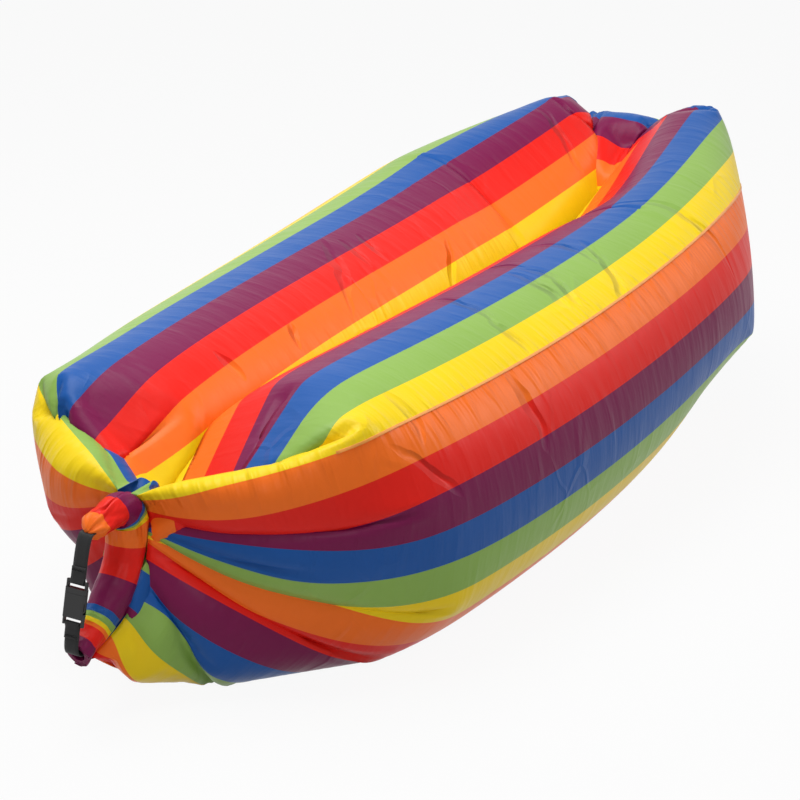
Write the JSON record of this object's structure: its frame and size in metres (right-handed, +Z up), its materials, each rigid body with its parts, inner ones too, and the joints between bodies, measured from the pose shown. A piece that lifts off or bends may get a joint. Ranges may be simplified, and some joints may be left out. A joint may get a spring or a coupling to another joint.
{
  "type": "inflatable air lounger",
  "caption": "Air-filled fabric lounger: a striped sleeve folded into two side-by-side halves, with a rolled mouth held by a side-release buckle.",
  "frame": {"origin": "on the ground, under the centre of the lounger's footprint", "axes": "+X towards the folded head end, -X towards the rolled mouth and buckle, +Y towards the far half, +Z up"},
  "size_m": [2.029, 0.895, 0.534],
  "materials": {
    "sleeve_fabric": "semi-gloss coated woven polyester in rainbow stripes",
    "seam_fabric": "folded and stitched fabric strip",
    "liner_film": "thin clear polyethylene film",
    "stiffener_plastic": "flexible plastic strip",
    "webbing": "woven polypropylene webbing",
    "sewing_thread": "polyester thread",
    "buckle_plastic": "moulded acetal, satin"
  },
  "bodies": {
    "lounger": {"near_half_tube": "sleeve_fabric", "far_half_tube": "sleeve_fabric", "folded_head_end": "sleeve_fabric", "near_mouth_gather": "sleeve_fabric", "far_mouth_gather": "sleeve_fabric", "inner_film_liner": "liner_film", "rolled_mouth": "sleeve_fabric", "near_stiffening_strip": "stiffener_plastic", "far_stiffening_strip": "stiffener_plastic", "sleeve_long_seam": "seam_fabric", "valley_joining_strip": "seam_fabric", "upper_webbing_strap": "webbing", "lower_webbing_strap": "webbing", "lower_bar_tack": "sewing_thread", "buckle_socket": "buckle_plastic"},
    "plug": {"buckle_plug": "buckle_plastic", "upper_bar_tack": "sewing_thread"},
    "near_prong": {"near_squeeze_prong": "buckle_plastic"},
    "far_prong": {"far_squeeze_prong": "buckle_plastic"}
  },
  "joints": [
    {"name": "buckle_release", "type": "slide", "parent": "lounger", "child": "plug", "axis": [0.2588, 0, 0.9659], "range_m": [0, 0.03], "deforming": ["upper_webbing_strap", "near_squeeze_prong", "far_squeeze_prong"]},
    {"name": "near_prong_squeeze", "type": "hinge", "parent": "plug", "child": "near_prong", "pos_m": [-0.99514, -0.0112, 0.21545], "axis": [0.9659, 0, -0.2588], "range_deg": [0, 8], "stiffness_Nm_per_rad": 0.4},
    {"name": "far_prong_squeeze", "type": "hinge", "parent": "plug", "child": "far_prong", "pos_m": [-0.99514, 0.0112, 0.21545], "axis": [-0.9659, 0, 0.2588], "range_deg": [0, 8], "stiffness_Nm_per_rad": 0.4}
  ],
  "couplings": [
    {"joint": "far_prong_squeeze", "follows": "near_prong_squeeze", "ratio": 1}
  ]
}
